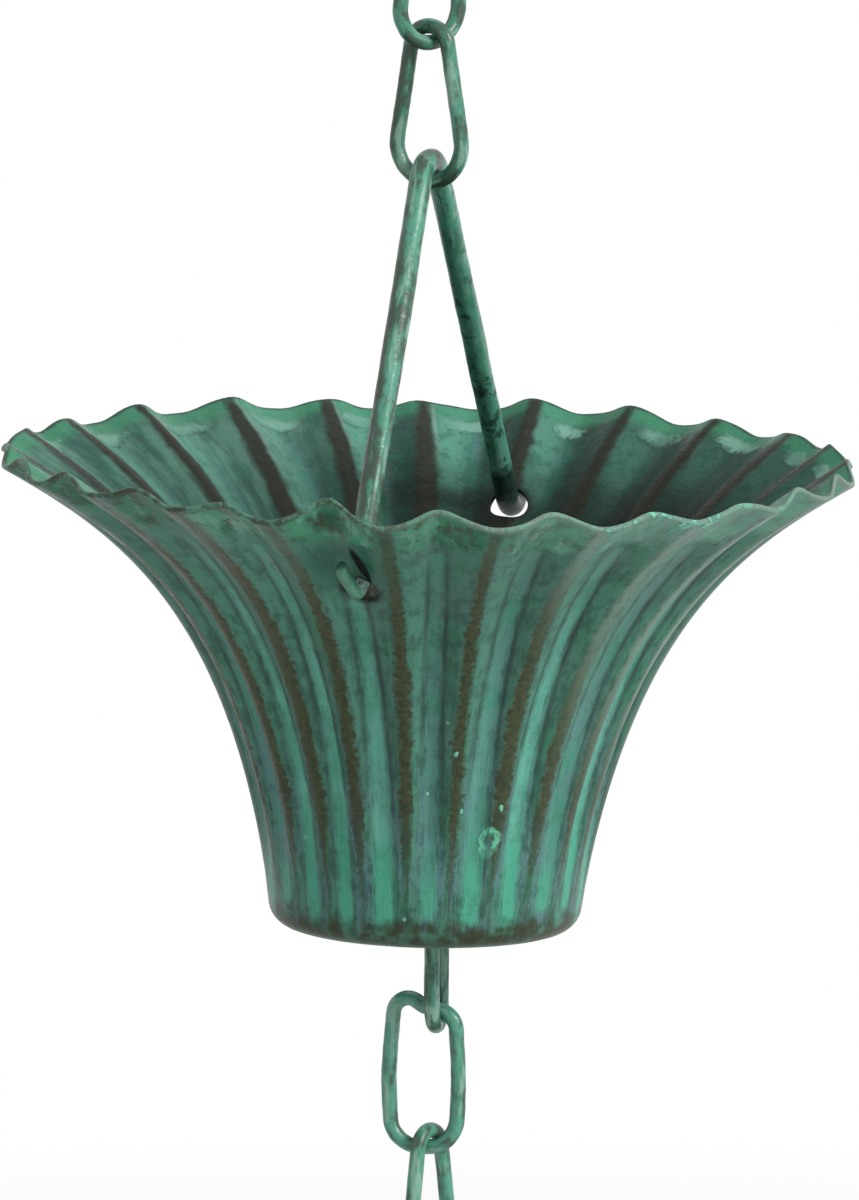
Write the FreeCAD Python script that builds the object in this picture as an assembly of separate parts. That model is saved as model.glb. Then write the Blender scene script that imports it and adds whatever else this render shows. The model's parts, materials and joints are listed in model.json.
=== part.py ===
"""One run of a hanging cup rain chain: two links, a wire bail, a fluted cup, the eye under it and two links.

Each piece of bent wire lies in an upright plane of its own and hangs on the piece above it.
The cup is one pressed sheet: a trumpet with radial flutes, a rounded foot, a drain and two bail holes.
The origin is where the top link bears on whatever holds it, and +Z points up.
"""

import FreeCAD
import Part
import math
import os

# Wires, in millimetres
LINK_WIRE = 2.0
BAIL_WIRE = 3.0
EYE_WIRE = 2.0
HANG_GAP = 0.2  # air between two wires where one hangs on the other
REST_GAP = 0.1  # air under the eye's arms, which rest on the cup's floor

# Pear links, measured on the wire's centreline
PEAR_LENGTH = 20.2
PEAR_BOTTOM_R = 4.8
PEAR_TOP_PLAY = 0.75  # room round the wire that the narrow end hangs on

# Lower link: a hand-closed oval whose ends meet inside the eye
LOWER_DROP = 18.2  # from the wire in the eye down to the bottom wire
LOWER_LEFT = 5.6  # from the chain's axis to the left side
LOWER_RIGHT = 4.0  # from the chain's axis to the right side
LOWER_BOW = 0.6  # how far each side bows out between its ends
LOWER_FOOT_R = 3.8
LOWER_HUMP = 2.6  # rise of the left end's corner before it is rounded
LOWER_HUMP_IN = 1.1  # how far that corner lies in from the left side
LOWER_HUMP_R = 2.0
LOWER_SHOULDER_R = 2.9
LOWER_SIDE_R = 60.0
LOWER_SEAM = 0.3  # gap between the two ends of the wire

# Bail: a wire bent to an upturned V, its ends hooked through the cup
BAIL_RISE = 40.3  # from the rim's low points up to the wire at the apex
BAIL_APEX_R = 6.0
BAIL_BEND_R = 2.9
BAIL_TAIL = 8.4  # from the hook's corner to the wire's cut end
TAIL_STANDOFF = 0.9  # air between the tail and the outside of the wall

# Cup
RIM_R = 55.4  # over the ridges at the rim
CUP_HEIGHT = 59.8  # from the foot to the rim's low points
BASE_R = 20.3  # where the wall leaves the rounded foot
FOOT_R = 3.3
BASE_LEAN = 8.5  # degrees from upright at the foot
RIM_FLARE = 60.0  # degrees from upright at the rim
BASE_SWEEP = 0.695  # share of the wall's rise along which the curve follows the lean
RIM_SWEEP = 0.277  # share of the wall's rise along which the curve follows the flare
SHEET = 0.7
FLUTES = 24
RIM_FLUTE = 0.92  # half the depth of a flute at the rim
BODY_FLUTE = 0.52  # half the depth of a flute low on the wall
FLUTE_FADE = 0.16  # share of the wall in which the flutes run out above the foot
CREST_SHARPNESS = 1.2  # above 1, the crests pressed inwards are narrower than the ridges between them
HOLE_BELOW_RIM = 9.0
HOLE_PLAY = 1.7  # bail hole less bail wire
DRAIN_D = 15.0

# Eye: a hairpin that hangs through the drain, its two arms spread on the cup's floor
EYE_DROP = 13.0  # from the underside of the cup to the wire in the bend
EYE_PLAY = 1.0  # room in the eye beside the link's wire
ARM_LAP = 4.5  # length of each arm that lies on the floor
ARM_BEND_R = 2.5

# How the pieces hang out of true
BAIL_LEAN = 0.65  # degrees that the bail leans, its feet towards +X
CUP_TILT = 1.35  # degrees that the cup hangs out of level on its bail, lower on the +X side
EYE_ASIDE = 0.95  # from the chain's axis to the eye, towards +X

# Turn of each upright plane about the chain's axis, in degrees from +X towards +Y
TOP_LINK_YAW = 53.0
UPPER_LINK_YAW = -16.0
BAIL_YAW = 90.0
EYE_YAW = 90.0
LOWER_LINK_YAW = 0.0
END_LINK_YAW = 70.0

# Grid of the fluted wall
WALL_ROWS = 11
ROW_CROWDING = 1.3  # above 1, the rows lie closer together near the foot
FLUTE_COLUMNS = 9
SEW_TOLERANCE = 1e-4

# Sizes that follow from the ones above
PEAR_TOP_R = LINK_WIRE + PEAR_TOP_PLAY
PITCH = 360.0 / FLUTES
HOLE_D = BAIL_WIRE + HOLE_PLAY
EYE_SPREAD = LINK_WIRE + EYE_PLAY + EYE_WIRE

# Heights of the wires, from the hanging point down
TOP_LINK_Z = LINK_WIRE / 2
UPPER_LINK_Z = TOP_LINK_Z - PEAR_LENGTH + LINK_WIRE + HANG_GAP
BAIL_PIVOT_Z = UPPER_LINK_Z - PEAR_LENGTH
APEX_Z = BAIL_PIVOT_Z + (LINK_WIRE + BAIL_WIRE) / 2 + HANG_GAP
RIM_Z = APEX_Z - BAIL_RISE
FOOT_Z = RIM_Z - CUP_HEIGHT
FLOOR_Z = FOOT_Z + SHEET
EYE_Z = FOOT_Z - EYE_DROP
LOWER_LINK_Z = EYE_Z + (EYE_WIRE + LINK_WIRE) / 2 + HANG_GAP
END_LINK_Z = LOWER_LINK_Z - LOWER_DROP + LINK_WIRE + HANG_GAP

AXIS = FreeCAD.Vector(0, 0, 1)
ACROSS = FreeCAD.Vector(0, 1, 0)
ORIGIN = FreeCAD.Vector(0, 0, 0)


# Bent wire

def flat(across, up):
    """A point of a wire's own upright plane, before the plane is turned."""
    return FreeCAD.Vector(across, 0, up)


def polar(centre, radius, degrees):
    """A point on a circle in the upright plane, by its angle from across towards up."""
    angle = math.radians(degrees)
    return centre + flat(radius * math.cos(angle), radius * math.sin(angle))


def arc(centre, radius, start, end):
    """An arc in the upright plane from one angle to another, in degrees."""
    middle = (start + end) / 2
    points = [polar(centre, radius, angle) for angle in (start, middle, end)]
    return Part.Arc(*points).toShape()


def rounded_path(corners):
    """Straight runs joined by tangent arcs, through (point, radius) corners. The two ends have no radius."""
    edges = []
    last = corners[0][0]
    for before, here, after in zip(corners, corners[1:], corners[2:]):
        corner, radius = here
        back = (before[0] - corner).normalize()
        on = (after[0] - corner).normalize()
        half = back.getAngle(on) / 2
        trim = radius / math.tan(half)
        inward = (back + on).normalize()
        centre = corner + inward * (radius / math.sin(half))
        start = corner + back * trim
        if (start - last).Length > 1e-6:
            edges.append(Part.makeLine(last, start))
        last = corner + on * trim
        edges.append(Part.Arc(start, centre - inward * radius, last).toShape())
    edges.append(Part.makeLine(last, corners[-1][0]))
    return edges


def wire_solid(edges, diameter, yaw):
    """Round wire along a path in the upright plane, turned about the chain's axis."""
    path = Part.Wire(edges)
    first = edges[0]
    start = first.valueAt(first.FirstParameter)
    section = Part.Wire(Part.makeCircle(diameter / 2, start, first.tangentAt(first.FirstParameter)))
    solid = path.makePipeShell([section], True, False)
    solid.rotate(ORIGIN, AXIS, yaw)
    return solid


def pear_link(top_z, yaw):
    """A closed link, narrow at the top and wide at the bottom, with straight sides."""
    top = flat(0, top_z - PEAR_TOP_R)
    bottom = flat(0, top_z - PEAR_LENGTH + PEAR_BOTTOM_R)
    slope = math.degrees(math.asin((PEAR_BOTTOM_R - PEAR_TOP_R) / (top.z - bottom.z)))
    left = 180 - slope
    edges = [
        Part.makeLine(polar(bottom, PEAR_BOTTOM_R, slope), polar(top, PEAR_TOP_R, slope)),
        arc(top, PEAR_TOP_R, slope, left),
        Part.makeLine(polar(top, PEAR_TOP_R, left), polar(bottom, PEAR_BOTTOM_R, left)),
        arc(bottom, PEAR_BOTTOM_R, left, 360 + slope),
    ]
    return wire_solid(edges, LINK_WIRE, yaw)


def lower_link():
    """The hand-closed oval link: its left end climbs over a hump, its right end comes in over a shoulder."""
    top = LOWER_LINK_Z
    foot = top - LOWER_DROP
    middle = (top + foot) / 2
    left = -LOWER_LEFT
    right = LOWER_RIGHT
    corners = [
        (flat(-LOWER_SEAM / 2, top), 0),
        (flat(left + LOWER_HUMP_IN, top + LOWER_HUMP), LOWER_HUMP_R),
        (flat(left, middle), LOWER_SIDE_R),
        (flat(left + LOWER_BOW, foot), LOWER_FOOT_R),
        (flat(right - LOWER_BOW, foot), LOWER_FOOT_R),
        (flat(right, middle), LOWER_SIDE_R),
        (flat(right - LOWER_BOW, top), LOWER_SHOULDER_R),
        (flat(LOWER_SEAM / 2, top), 0),
    ]
    return wire_solid(rounded_path(corners), LINK_WIRE, LOWER_LINK_YAW)


# Cup

def wall_point(share):
    """(radius, height) of the outer wall over its ridges, from the foot at share 0 to the rim at share 1."""
    lean = math.radians(BASE_LEAN)
    flare = math.radians(RIM_FLARE)
    low = (BASE_R, FOOT_Z + FOOT_R * (1 - math.sin(lean)))
    high = (RIM_R, RIM_Z)
    rise = high[1] - low[1]
    low_reach = BASE_SWEEP * rise
    high_reach = RIM_SWEEP * rise
    poles = [
        low,
        (low[0] + low_reach * math.sin(lean), low[1] + low_reach * math.cos(lean)),
        (high[0] - high_reach * math.sin(flare), high[1] - high_reach * math.cos(flare)),
        high,
    ]
    weights = [
        (1 - share) ** 3,
        3 * share * (1 - share) ** 2,
        3 * share ** 2 * (1 - share),
        share ** 3,
    ]
    radius = sum(weight * pole[0] for weight, pole in zip(weights, poles))
    height = sum(weight * pole[1] for weight, pole in zip(weights, poles))
    return radius, height


def wall_normal(share):
    """(radius, height) parts of the wall's outward direction."""
    step = 1e-4
    below = wall_point(share - step)
    above = wall_point(share + step)
    run = above[0] - below[0]
    rise = above[1] - below[1]
    length = math.hypot(run, rise)
    return rise / length, -run / length


def flute_depth(share):
    """Half the flutes' depth: nothing at the foot, then growing towards the rim."""
    grown = BODY_FLUTE + (RIM_FLUTE - BODY_FLUTE) * share ** 2
    start = min(share / FLUTE_FADE, 1.0)
    return grown * start * start * (3 - 2 * start)


def wall_surface_point(share, degrees, inset):
    """A point of the fluted wall. A crest, pressed inwards, lies at 0 degrees and at every pitch from it."""
    radius, height = wall_point(share)
    out, up = wall_normal(share)
    wave = (1 + math.cos(math.radians(FLUTES * degrees))) / 2
    pressed = inset + 2 * flute_depth(share) * wave ** CREST_SHARPNESS
    radius -= pressed * out
    height -= pressed * up
    angle = math.radians(degrees)
    return FreeCAD.Vector(radius * math.cos(angle), radius * math.sin(angle), height)


def spline_through(points, tangents=None):
    """A cubic through points at even steps, with set tangents at its two ends if they are given."""
    last = len(points) - 1
    curve = Part.BSplineCurve()
    ends = {}
    if tangents:
        ends = {"InitialTangent": tangents[0], "FinalTangent": tangents[1], "Scale": False}
    curve.interpolate(Points=points, Parameters=[step / last for step in range(last + 1)], **ends)
    return curve


def ridge_tangent(point):
    """Rate along a whole flute at a ridge, where the wall runs straight round the axis."""
    return AXIS.cross(FreeCAD.Vector(point.x, point.y, 0)) * math.radians(PITCH)


def flute_face(inset):
    """One flute of the wall, from ridge to ridge, as one smooth face that meets its neighbours in line."""
    columns = [PITCH * (column / (FLUTE_COLUMNS - 1) - 0.5) for column in range(FLUTE_COLUMNS)]
    shares = [(row / (WALL_ROWS - 1)) ** ROW_CROWDING for row in range(WALL_ROWS)]
    rounds = []
    for share in shares:
        points = [wall_surface_point(share, degrees, inset) for degrees in columns]
        tangents = (ridge_tangent(points[0]), ridge_tangent(points[-1]))
        rounds.append(spline_through(points, tangents))
    rises = [spline_through(list(poles)) for poles in zip(*[curve.getPoles() for curve in rounds])]
    surface = Part.BSplineSurface()
    surface.buildFromPolesMultsKnots(
        [list(poles) for poles in zip(*[curve.getPoles() for curve in rises])],
        rises[0].getMultiplicities(),
        rounds[0].getMultiplicities(),
        rises[0].getKnots(),
        rounds[0].getKnots(),
        False,
        False,
        3,
        3,
    )
    return surface.toShape()


def edge_at(face, height_rank):
    """The lowest (0) or highest (-1) edge of a flute face."""
    return sorted(face.Edges, key=lambda edge: edge.CenterOfMass.z)[height_rank]


def foot_edges():
    """Half-section of the foot at one flute's edge: two rounded corners, both sides of the floor, the drain's wall."""
    lean = BASE_LEAN
    centre = flat(BASE_R - FOOT_R * math.cos(math.radians(lean)), FOOT_Z + FOOT_R)
    drain_low = flat(DRAIN_D / 2, FOOT_Z)
    drain_high = flat(DRAIN_D / 2, FLOOR_Z)
    return [
        arc(centre, FOOT_R, -90, -lean),
        arc(centre, FOOT_R - SHEET, -90, -lean),
        Part.makeLine(drain_low, flat(centre.x, FOOT_Z)),
        Part.makeLine(drain_high, flat(centre.x, FLOOR_Z)),
        Part.makeLine(drain_low, drain_high),
    ]


def flute_sector():
    """The faces of one flute's share of the cup, from the rim to the drain."""
    outside = flute_face(0)
    inside = flute_face(SHEET)
    rim = Part.makeRuledSurface(edge_at(outside, -1), edge_at(inside, -1))
    faces = [outside, inside, rim]
    for edge in foot_edges():
        edge.rotate(ORIGIN, AXIS, -PITCH / 2)
        faces.append(edge.revolve(ORIGIN, AXIS, PITCH))
    return Part.makeCompound(faces)


def hole_share():
    """Where on the wall the middle of the sheet, on a crest, lies at the height of the bail holes."""
    low, high = 0.0, 1.0
    target = RIM_Z - HOLE_BELOW_RIM
    for _ in range(50):
        share = (low + high) / 2
        if wall_surface_point(share, 90, SHEET / 2).z < target:
            low = share
        else:
            high = share
    return share


def bail_hole():
    """Where a bail leg meets the middle of the sheet, across and up."""
    point = wall_surface_point(hole_share(), 90, SHEET / 2)
    return flat(point.y, point.z)


def hole_aside():
    """How far towards +X the leaning bail carries the cup's holes."""
    return (BAIL_PIVOT_Z - bail_hole().z) * math.sin(math.radians(BAIL_LEAN))


def bail_angle():
    """Angle of each leg from upright, for a leg that meets the apex arc and the hole."""
    hole = bail_hole()
    centre_up = APEX_Z - BAIL_APEX_R - hole.z
    reach = math.hypot(hole.x, centre_up)
    return math.acos(BAIL_APEX_R / reach) - math.atan2(centre_up, hole.x)


def leg_direction():
    """Down and outwards along the right leg."""
    angle = bail_angle()
    return flat(math.sin(angle), -math.cos(angle))


def tail_direction():
    """Up and outwards along the right tail, square to the leg."""
    angle = bail_angle()
    return flat(math.cos(angle), math.sin(angle))


def bail_hole_cutters():
    """A punch for each bail hole, square to the wall. The wire bears on the upper side of its hole."""
    drop = (HOLE_D - BAIL_WIRE) / 2 - HANG_GAP
    reach = 2 * HOLE_D
    middle = bail_hole() - tail_direction() * drop
    start = middle - leg_direction() * reach
    cutters = []
    for turn in (BAIL_YAW, BAIL_YAW + 180):
        cutter = Part.makeCylinder(HOLE_D / 2, 2 * reach, start, leg_direction())
        cutter.rotate(ORIGIN, AXIS, turn)
        cutters.append(cutter)
    return cutters


def cup():
    """The pressed sheet cup."""
    sector = flute_sector()
    faces = []
    for number in range(FLUTES):
        copy = sector.copy()
        copy.rotate(ORIGIN, AXIS, number * PITCH)
        faces.extend(copy.Faces)
    shell = Part.makeCompound(faces)
    shell.sewShape(SEW_TOLERANCE)
    solid = Part.Solid(shell.Shells[0]).removeSplitter().cut(bail_hole_cutters())
    solid.rotate(flat(0, bail_hole().z), ACROSS, CUP_TILT)
    solid.translate(flat(hole_aside(), 0))
    return solid


# Bail and eye

def bail():
    """The V of wire: a rounded apex, two straight legs through the cup and two upturned tails outside it."""
    angle = bail_angle()
    peak = flat(0, APEX_Z + BAIL_APEX_R * (1 / math.sin(angle) - 1))
    past_wall = SHEET / 2 + TAIL_STANDOFF + BAIL_WIRE / 2
    hook = bail_hole() + leg_direction() * past_wall
    tip = hook + tail_direction() * BAIL_TAIL
    corners = [
        (flat(-tip.x, tip.z), 0),
        (flat(-hook.x, hook.z), BAIL_BEND_R),
        (peak, BAIL_APEX_R),
        (hook, BAIL_BEND_R),
        (tip, 0),
    ]
    solid = wire_solid(rounded_path(corners), BAIL_WIRE, BAIL_YAW)
    solid.rotate(flat(0, BAIL_PIVOT_Z), ACROSS, -BAIL_LEAN)
    return solid


def base_eye():
    """The hairpin under the cup: its bend carries the next link, its arms lie on the cup's floor."""
    arm_z = FLOOR_Z + REST_GAP + EYE_WIRE / 2
    arm_end = DRAIN_D / 2 + ARM_LAP
    side = EYE_SPREAD / 2
    corners = [
        (flat(-arm_end, arm_z), 0),
        (flat(-side, arm_z), ARM_BEND_R),
        (flat(-side, EYE_Z), side),
        (flat(side, EYE_Z), side),
        (flat(side, arm_z), ARM_BEND_R),
        (flat(arm_end, arm_z), 0),
    ]
    solid = wire_solid(rounded_path(corners), EYE_WIRE, EYE_YAW)
    solid.translate(flat(EYE_ASIDE, 0))
    return solid


def main():
    pieces = {
        "top_link": pear_link(TOP_LINK_Z, TOP_LINK_YAW),
        "upper_link": pear_link(UPPER_LINK_Z, UPPER_LINK_YAW),
        "bail": bail(),
        "cup": cup(),
        "base_eye": base_eye(),
        "lower_link": lower_link(),
        "end_link": pear_link(END_LINK_Z, END_LINK_YAW),
    }
    os.makedirs("parts", exist_ok=True)
    for name, shape in pieces.items():
        shape.exportStep(f"parts/{name}.step")


main()
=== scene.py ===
"""The rain chain's looks: a finely modelled fluted cup and bent wires in worn, brushed-on verdigris paint.

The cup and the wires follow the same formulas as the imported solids, with a hand-made unevenness on top.
Sizes are in millimetres and become metres where a mesh is made.
"""

import json
import math

import bmesh
import bpy
import numpy as np
from mathutils import Matrix, Vector, kdtree


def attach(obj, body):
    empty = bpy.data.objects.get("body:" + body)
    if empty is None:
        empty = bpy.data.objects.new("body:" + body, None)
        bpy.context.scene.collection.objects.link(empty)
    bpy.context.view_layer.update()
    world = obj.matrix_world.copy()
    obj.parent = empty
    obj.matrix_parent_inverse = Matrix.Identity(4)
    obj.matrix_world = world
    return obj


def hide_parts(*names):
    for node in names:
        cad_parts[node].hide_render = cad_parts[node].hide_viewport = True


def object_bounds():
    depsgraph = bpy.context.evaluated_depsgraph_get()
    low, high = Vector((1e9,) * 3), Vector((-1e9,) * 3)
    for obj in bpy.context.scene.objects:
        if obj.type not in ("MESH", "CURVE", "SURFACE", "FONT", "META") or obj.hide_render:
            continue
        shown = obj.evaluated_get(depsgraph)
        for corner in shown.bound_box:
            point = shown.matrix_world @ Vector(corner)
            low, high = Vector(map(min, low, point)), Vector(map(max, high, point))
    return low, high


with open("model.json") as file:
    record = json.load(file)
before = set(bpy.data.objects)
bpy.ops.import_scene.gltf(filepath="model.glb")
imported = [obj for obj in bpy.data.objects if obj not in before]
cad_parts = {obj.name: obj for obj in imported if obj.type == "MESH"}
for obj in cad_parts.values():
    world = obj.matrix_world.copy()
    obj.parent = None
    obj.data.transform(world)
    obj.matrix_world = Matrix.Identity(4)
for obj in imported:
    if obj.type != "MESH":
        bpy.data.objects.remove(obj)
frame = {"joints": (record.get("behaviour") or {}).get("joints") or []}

CAD_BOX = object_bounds()
MM = 0.001

# Wires
LINK_WIRE = 2.0
BAIL_WIRE = 3.0
EYE_WIRE = 2.0
HANG_GAP = 0.2
REST_GAP = 0.1
PEAR_LENGTH = 20.2
PEAR_BOTTOM_R = 4.8
LINK_ROOM = 0.75
PEAR_TOP_R = LINK_WIRE + LINK_ROOM
LOWER_DROP = 18.2
LOWER_LEFT = 5.6
LOWER_RIGHT = 4.0
LOWER_BOW = 0.6
LOWER_FOOT_R = 3.8
LOWER_HUMP = 2.6
LOWER_HUMP_IN = 1.1
LOWER_HUMP_R = 2.0
LOWER_SHOULDER_R = 2.9
LOWER_SIDE_R = 60.0
LOWER_SEAM = 0.3
BAIL_APEX_R = 6.0
BAIL_BEND_R = 2.9
BAIL_TAIL = 8.4
TAIL_STANDOFF = 0.9
EYE_DROP = 13.0
EYE_ROOM = 1.0
EYE_SPREAD = LINK_WIRE + EYE_ROOM + EYE_WIRE
ARM_LAP = 4.5
ARM_BEND_R = 2.5

# Cup
RIM_R = 55.4
CUP_HEIGHT = 59.8
BASE_R = 20.3
FOOT_R = 3.3
BASE_LEAN = math.radians(8.5)
RIM_FLARE = math.radians(60.0)
BASE_SWEEP = 0.695
RIM_SWEEP = 0.277
SHEET = 0.7
FLUTES = 24
RIM_FLUTE = 0.92
BODY_FLUTE = 0.52
FLUTE_FADE = 0.16
CREST_SHARPNESS = 1.2
HOLE_ROOM = 1.7
HOLE_D = BAIL_WIRE + HOLE_ROOM
DRAIN_D = 15.0

# Turn of each wire's upright plane about the chain's axis, in degrees
TOP_LINK_YAW = 53.0
UPPER_LINK_YAW = -16.0
BAIL_YAW = 90.0
EYE_YAW = 90.0
LOWER_LINK_YAW = 0.0
END_LINK_YAW = 70.0

# Heights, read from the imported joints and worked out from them
HINGE_X = {joint["name"]: joint["pos_m"][0] / MM for joint in frame["joints"]}
HINGE_Z = {joint["name"]: joint["pos_m"][2] / MM for joint in frame["joints"]}
TOP_LINK_Z = HINGE_Z["upper_link_swing"] + PEAR_LENGTH
UPPER_LINK_Z = HINGE_Z["bail_swing"] + PEAR_LENGTH
APEX_Z = HINGE_Z["bail_swing"] + (LINK_WIRE + BAIL_WIRE) / 2 + HANG_GAP
HOLE_Z = HINGE_Z["cup_swing"]
EYE_Z = HINGE_Z["lower_link_swing"]
FOOT_Z = EYE_Z + EYE_DROP
FLOOR_Z = FOOT_Z + SHEET
RIM_Z = FOOT_Z + CUP_HEIGHT
LOWER_LINK_Z = HINGE_Z["end_link_swing"] + LOWER_DROP
END_LINK_Z = HINGE_Z["end_link_swing"] + LINK_WIRE + HANG_GAP

# How the pieces hang out of true: angle about +Y, height of that turn, and aside towards +X
PLUMB = (0.0, 0.0, 0.0)
BAIL_HANG = (math.radians(-0.65), HINGE_Z["bail_swing"], 0.0)
CUP_HANG = (math.radians(1.35), HOLE_Z, HINGE_X["cup_swing"])
EYE_HANG = (0.0, EYE_Z, HINGE_X["lower_link_swing"])

# Unevenness of the hand-made cup: (size, waves round the cup, phase)
CREST_SHIFT = ((0.5, 3, 0.4), (0.45, 8, 2.1), (0.3, 13, 5.0))  # degrees
DEPTH_SPREAD = ((0.07, 5, 1.0), (0.06, 11, 3.3), (0.05, 17, 0.2))  # share of the depth
RIM_LIFT = ((0.25, 2, 0.6), (0.20, 7, 4.0), (0.15, 19, 1.5), (0.07, 43, 2.2), (0.05, 71, 0.9))  # mm
LIFT_POWER = 6  # how fast the lift dies out below the rim
RIM_ASIDE = 1.0  # mm that the rim's middle lies off the cup's axis, towards -X
ASIDE_POWER = 2.5
HUMP_ANGLE = -90.0  # the crest over the front bail hole, pressed in and up
HUMP_WIDTH = 3.2
HUMP_PRESS = 2.0
HUMP_REACH = 0.10  # share of the wall below the rim that the hump takes

# Grid of the cup's mesh
COLUMNS = FLUTES * 16
WALL_ROWS = 84
ARC_ROWS = 7
FLAT_ROWS = 4
RIM_ROWS = 5
RIM_BOW = 0.4 * SHEET  # how far the rim's edge is rounded out
SHARP_EDGE = math.radians(50.0)

# Grid of the wires' meshes
WIRE_SIDES = 28
WIRE_STEP = 0.3
WIRE_LUMPS = 0.025  # share of the radius
LUMP_WAVES = (3, 5, 8, 13, 21, 34)  # waves of lumps along a wire
LUMP_TURNS = 4  # there are fewer waves than this round it
END_ROUNDING = (0.80, 0.96)  # shares of the radius at the first two rings of a cut end
WIRE_STRETCH = 0.22  # scale of the paint's noise along a wire, to draw it out
WIRE_APART = 40.0  # between the noise on two wires

# Wear of the bail and the painted shade on it, in mm along the wire and aside
TAIL_FLAT = 12.0  # of the front tail and hook that are beaten flatter
FLAT_FADE = 3.0
FLAT_WIDTH = 0.5
FLAT_THICKNESS = 0.75
TIP_ASIDE = -0.1  # the front tail's tip off the crest, towards -X
HOOK_ASIDE = 0.9  # the front hook off the crest, towards +X
LEG_BEND = 9.0  # of the front leg above the hook, over which it is bent
LEG_SHADE = 5.0  # of each leg above its hook that are painted dark, as shade
LEG_SHADE_FADE = 2.0
FRONT_TAIL_SHADE = 1.0  # and of each tail
BACK_TAIL_SHADE = 4.0

# Where the bail holes lie off their crests, towards +X, and how much wider the back one is worn
FRONT_HOLE_ASIDE = 0.60
BACK_HOLE_ASIDE = 0.25
BACK_HOLE_WEAR = 0.30
PUNCH_DEPTH = 4 * HOLE_D
PUNCH_SIDES = 72
HOLE_SHADE = 0.30  # how far painted shade goes round a hole, in radii of the hole
HOLE_SHADE_FADE = 0.24

# The dark slit painted beside the front bail hole, a painted shadow of the gap beside the tail, in mm along
# and across the crest
SLIT_LENGTH = 7.4
SLIT_WIDTH = 1.35
SLIT_UP = 5.2
SLIT_ASIDE = 1.55
SLIT_TURN = math.radians(8.0)
BRUISE_REACH = 9.5
BRUISE_FADE = 7.0
BRUISE_ASIDE = 2.2  # mm from the slit's middle, towards -X

# Where the paint lies on the cup's flutes, in mm: (usual size, spread from flute to flute)
POOL_HALF = (1.12, 0.25)  # half the width of the mint in a valley
POOL_NARROWING = 0.28  # share of it that is lost higher up
POOL_NARROWS = (8.0, 38.0)  # up the wall, between which that happens
POOL_START = (0.4, 1.6)  # above the foot
POOL_END = (10.0, 1.5)  # below the rim
RIDGE_HALF = (0.86, 0.28)  # half the width of the brown on a ridge
RIDGE_GROWS = (2.0, 18.0)
CAP_REACH = (8.0, 1.6)  # below the rim
CAP_HALF = 0.40  # in flutes
CAP_TAPER = 0.012  # flutes lost for each mm down
LINE_HALF = (0.62, 0.22)  # half the width of the dark line inside
LINE_AT_RIM = 0.55  # share of it at the rim
LINE_GROWTH = 0.75  # share that it gains below
LINE_GROWS = 10.0  # mm over which it does
SMEAR_HALF = (3.2, 0.8)  # a pale smear inside
SMEAR_DOWN = (3.5, 0.8)
SMEAR_HEIGHT = 1.35
SMEAR_ASIDE = 1.1
NO_POOL = -5.0
FOOT_RUN = 1.3  # mm of run for each mm inward from the foot of the wall
CUP_SEED = 24
NOISE_RADIUS = 30.0  # of the round space in which the paint's streaks lie
STREAK_STRETCH = 0.16  # scale of their noise up the wall, to draw it out
INSIDE_APART = 60.0  # between the noise outside and inside

# Drops of paint on the outside: (degrees round the cup, mm above the foot, radius)
DROPS = (
    (-52.3, 19.2, 0.34), (-65.1, 18.8, 0.26), (-75.9, 20.7, 0.24), (-68.1, 26.7, 0.30), (-36.4, 59.5, 0.55),
)
DROP_RISE = 0.45  # height of a drop over its radius
DROP_SINK = 0.1  # share of that height that lies in the wall
DROP_STRETCH = 1.3  # how much taller than wide
DROP_LOBES = ((0.15, 2), (0.10, 3))  # size and number of the waves round a drop
DROP_RINGS = 5
DROP_SIDES = 14
DROP_SEED = 7
BURST_DROP = (-55.1, 14.6, 1.35)  # a drop burst into a ring: place and radius
BURST_LEAN = 0.35
CRUST_MIDDLE = 41.0  # mm to the right of the axis where the crust on the rim is thickest
CRUST_HALF = 9.0  # and how far it goes to either side
CRUST_DEPTH = 3.0  # mm below the rim

# Paint, as linear colours
MINT = (0.062, 0.314, 0.210)
MINT_DEEP = (0.040, 0.240, 0.155)
MINT_SOFT = (0.116, 0.370, 0.288)
MINT_PALE = (0.105, 0.300, 0.228)
FLANK_MINT = (0.069, 0.220, 0.151)
GREY_GREEN = (0.049, 0.142, 0.097)
DULL_GREEN = (0.035, 0.154, 0.091)
SHADE_GREEN = (0.011, 0.040, 0.028)
BLUE_GREY = (0.088, 0.194, 0.190)
SLATE = (0.024, 0.050, 0.049)
BROWN = (0.050, 0.053, 0.020)
BROWN_SHADE = (0.030, 0.036, 0.015)
BROWN_DEEP = (0.017, 0.017, 0.007)
LINE_BROWN = (0.013, 0.014, 0.008)
RIM_BROWN = (0.034, 0.040, 0.022)
RIM_PALE = (0.170, 0.240, 0.195)
CAP_GREEN = (0.046, 0.238, 0.128)
CAP_DEEP = (0.020, 0.118, 0.068)
BRUISE_GREEN = (0.014, 0.092, 0.052)
PALE = (0.165, 0.345, 0.270)
SHEEN = (0.230, 0.360, 0.300)
NEAR_BLACK = (0.005, 0.008, 0.007)
TEAL = (0.036, 0.185, 0.140)
WIRE_DULL = (0.038, 0.172, 0.110)
WIRE_GREEN = (0.076, 0.272, 0.186)
WIRE_PALE = (0.235, 0.390, 0.310)
WIRE_DARK = (0.036, 0.052, 0.034)
TAIL_GREEN = (0.046, 0.178, 0.112)
DROP_MINT = (0.115, 0.430, 0.275)
CRUST_MINT = (0.165, 0.470, 0.345)

# Shine of the paint, and its relief in mm
OUTSIDE_SHINE = 0.15
INSIDE_SHINE = 0.10
WIRE_SHINE = 0.40
DROP_SHINE = 0.45
OUTSIDE_RELIEF = 0.18
INSIDE_RELIEF = 0.16
WIRE_RELIEF = 0.12
DROP_RELIEF = 0.10

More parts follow.
